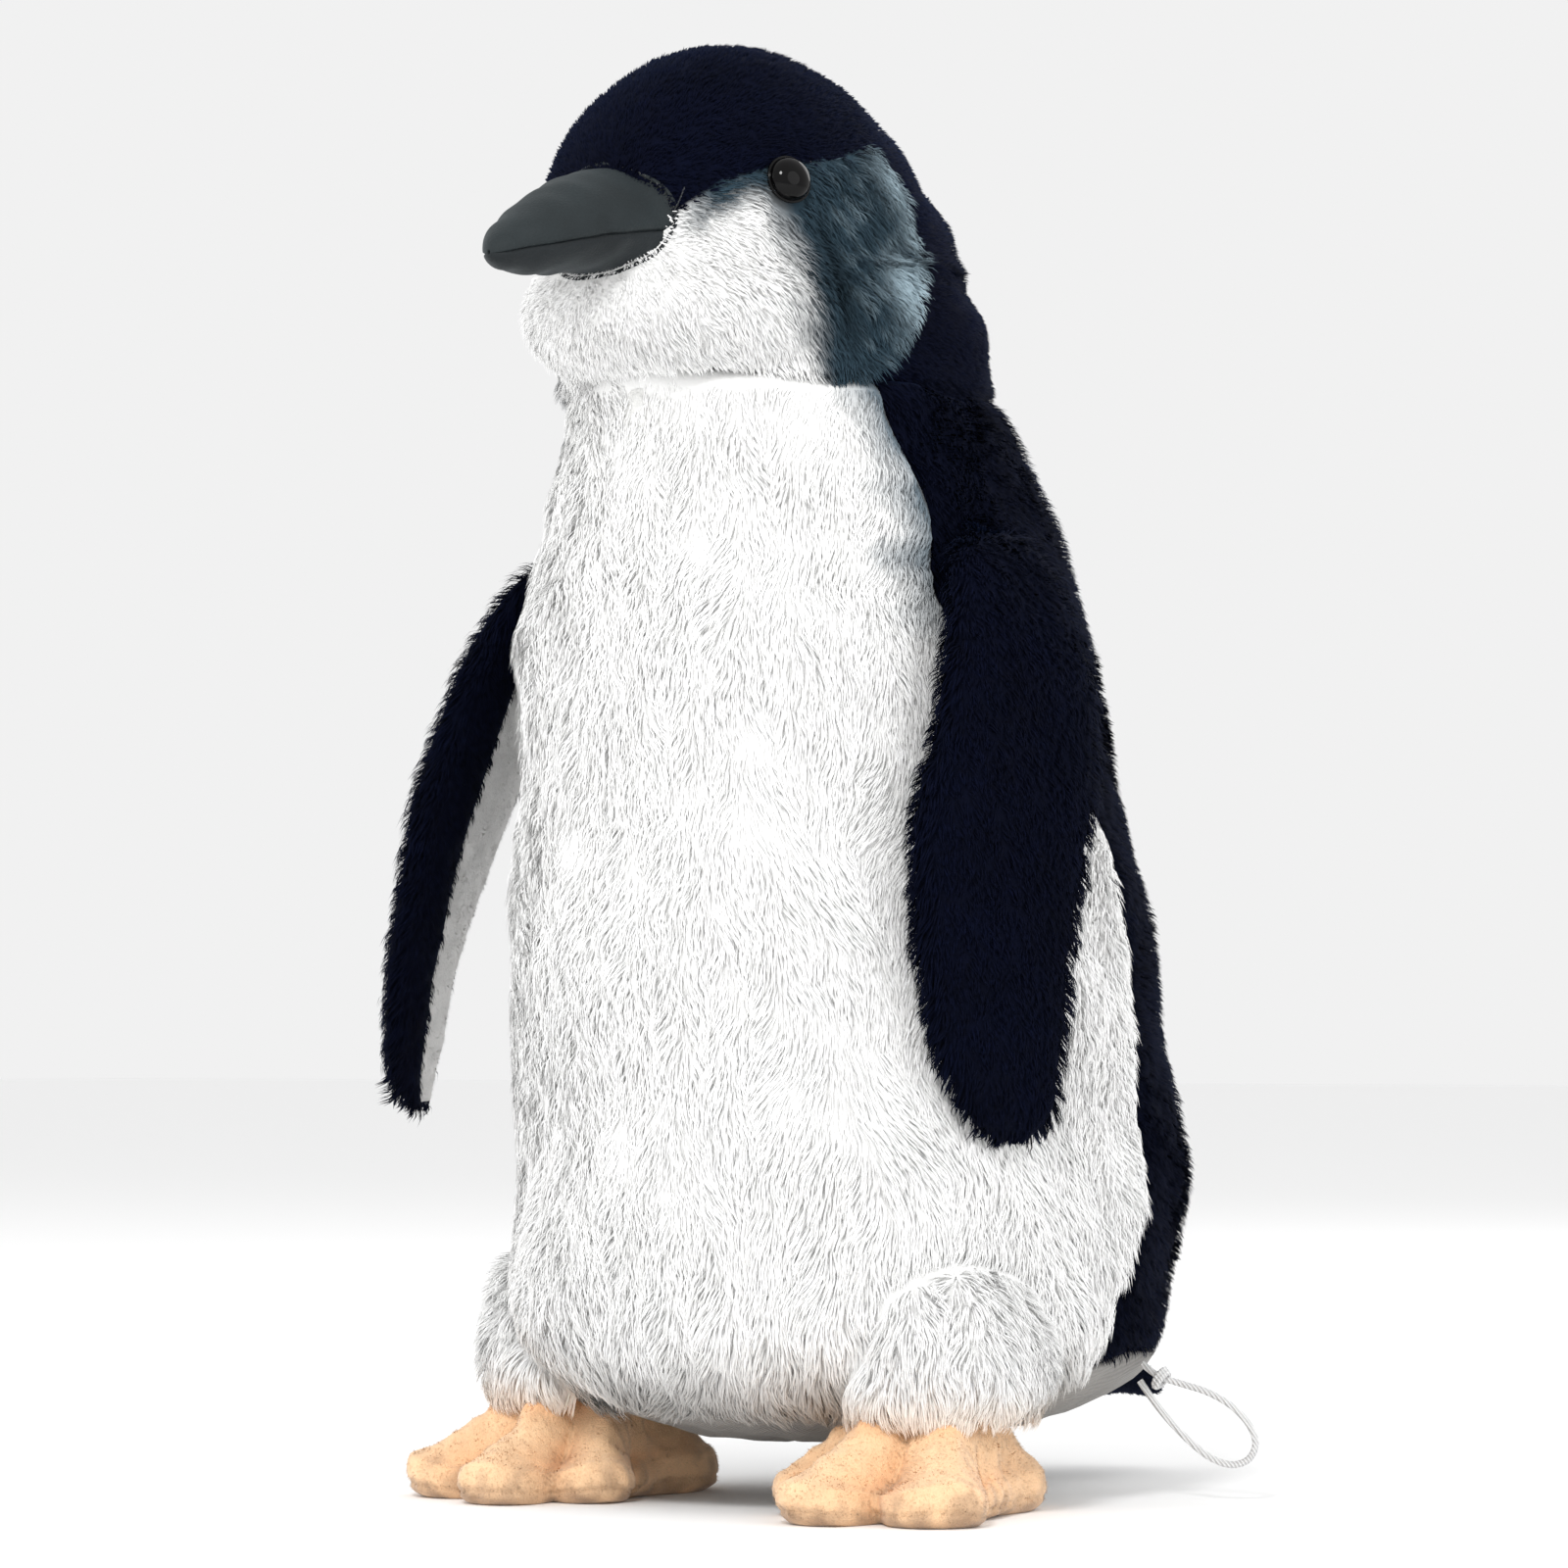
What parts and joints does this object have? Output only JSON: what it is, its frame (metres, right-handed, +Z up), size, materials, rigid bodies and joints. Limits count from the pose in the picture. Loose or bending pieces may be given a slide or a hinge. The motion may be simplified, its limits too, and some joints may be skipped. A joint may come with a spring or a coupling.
{
  "type": "plush penguin",
  "caption": "Standing stuffed penguin of sewn pile fabric with flippers, feet, beak, tail and hang loop.",
  "frame": {"origin": "on the floor, under the middle of the toy's own box (the hang loop left out)", "axes": "+Z up; the penguin faces -Y; its left side is +X"},
  "size_m": [0.2324, 0.2852, 0.3975],
  "materials": {
    "navy_plush": "matte",
    "white_plush": "matte",
    "grey_plush": "matte",
    "grey_tricot": "matte",
    "white_velboa": "matte",
    "charcoal_suede": "matte",
    "peach_velboa": "matte",
    "black_eye": "gloss",
    "washer_plastic": "satin",
    "fibre_fill": "matte",
    "pellet_fill": "matte",
    "white_cord": "matte"
  },
  "bodies": {
    "body": {"back_panel_left": "navy_plush", "back_panel_right": "navy_plush", "belly_panel": "white_plush", "base_gusset": "grey_tricot", "body_stuffing": "fibre_fill", "pellet_bag": "pellet_fill", "head_crown": "navy_plush", "face_panel_left": "white_plush", "face_panel_right": "white_plush", "ear_panel_left": "grey_plush", "ear_panel_right": "grey_plush", "head_stuffing": "fibre_fill", "beak_upper": "charcoal_suede", "beak_lower": "charcoal_suede", "beak_stuffing": "fibre_fill", "eye_left": "black_eye", "eye_right": "black_eye", "eye_washer_left": "washer_plastic", "eye_washer_right": "washer_plastic", "leg_cuff_left": "white_plush", "leg_cuff_right": "white_plush", "leg_stuffing_left": "fibre_fill", "leg_stuffing_right": "fibre_fill", "foot_upper_left": "peach_velboa", "foot_upper_right": "peach_velboa", "foot_sole_left": "peach_velboa", "foot_sole_right": "peach_velboa", "foot_stuffing_left": "fibre_fill", "foot_stuffing_right": "fibre_fill", "hang_loop": "white_cord"},
    "left_flipper": {"flipper_outer_left": "navy_plush", "flipper_inner_left": "white_velboa", "flipper_stuffing_left": "fibre_fill"},
    "right_flipper": {"flipper_outer_right": "navy_plush", "flipper_inner_right": "white_velboa", "flipper_stuffing_right": "fibre_fill"},
    "tail": {"tail_upper": "navy_plush", "tail_under": "navy_plush", "tail_stuffing": "fibre_fill"}
  },
  "joints": [
    {"name": "left_flipper_lift", "type": "hinge", "parent": "body", "child": "left_flipper", "pos_m": [0.08648, -0.02296, 0.26282], "axis": [-0.1033, -0.9947, 0], "range_deg": [0, 75], "stiffness_Nm_per_rad": 0.05},
    {"name": "right_flipper_lift", "type": "hinge", "parent": "body", "child": "right_flipper", "pos_m": [-0.05628, -0.02296, 0.26282], "axis": [-0.1033, 0.9947, 0], "range_deg": [-10, 62], "stiffness_Nm_per_rad": 0.05},
    {"name": "tail_flex", "type": "hinge", "parent": "body", "child": "tail", "pos_m": [0.0151, 0.09976, 0.0372], "axis": [1, 0, 0], "range_deg": [-10, 10], "stiffness_Nm_per_rad": 0.01}
  ]
}
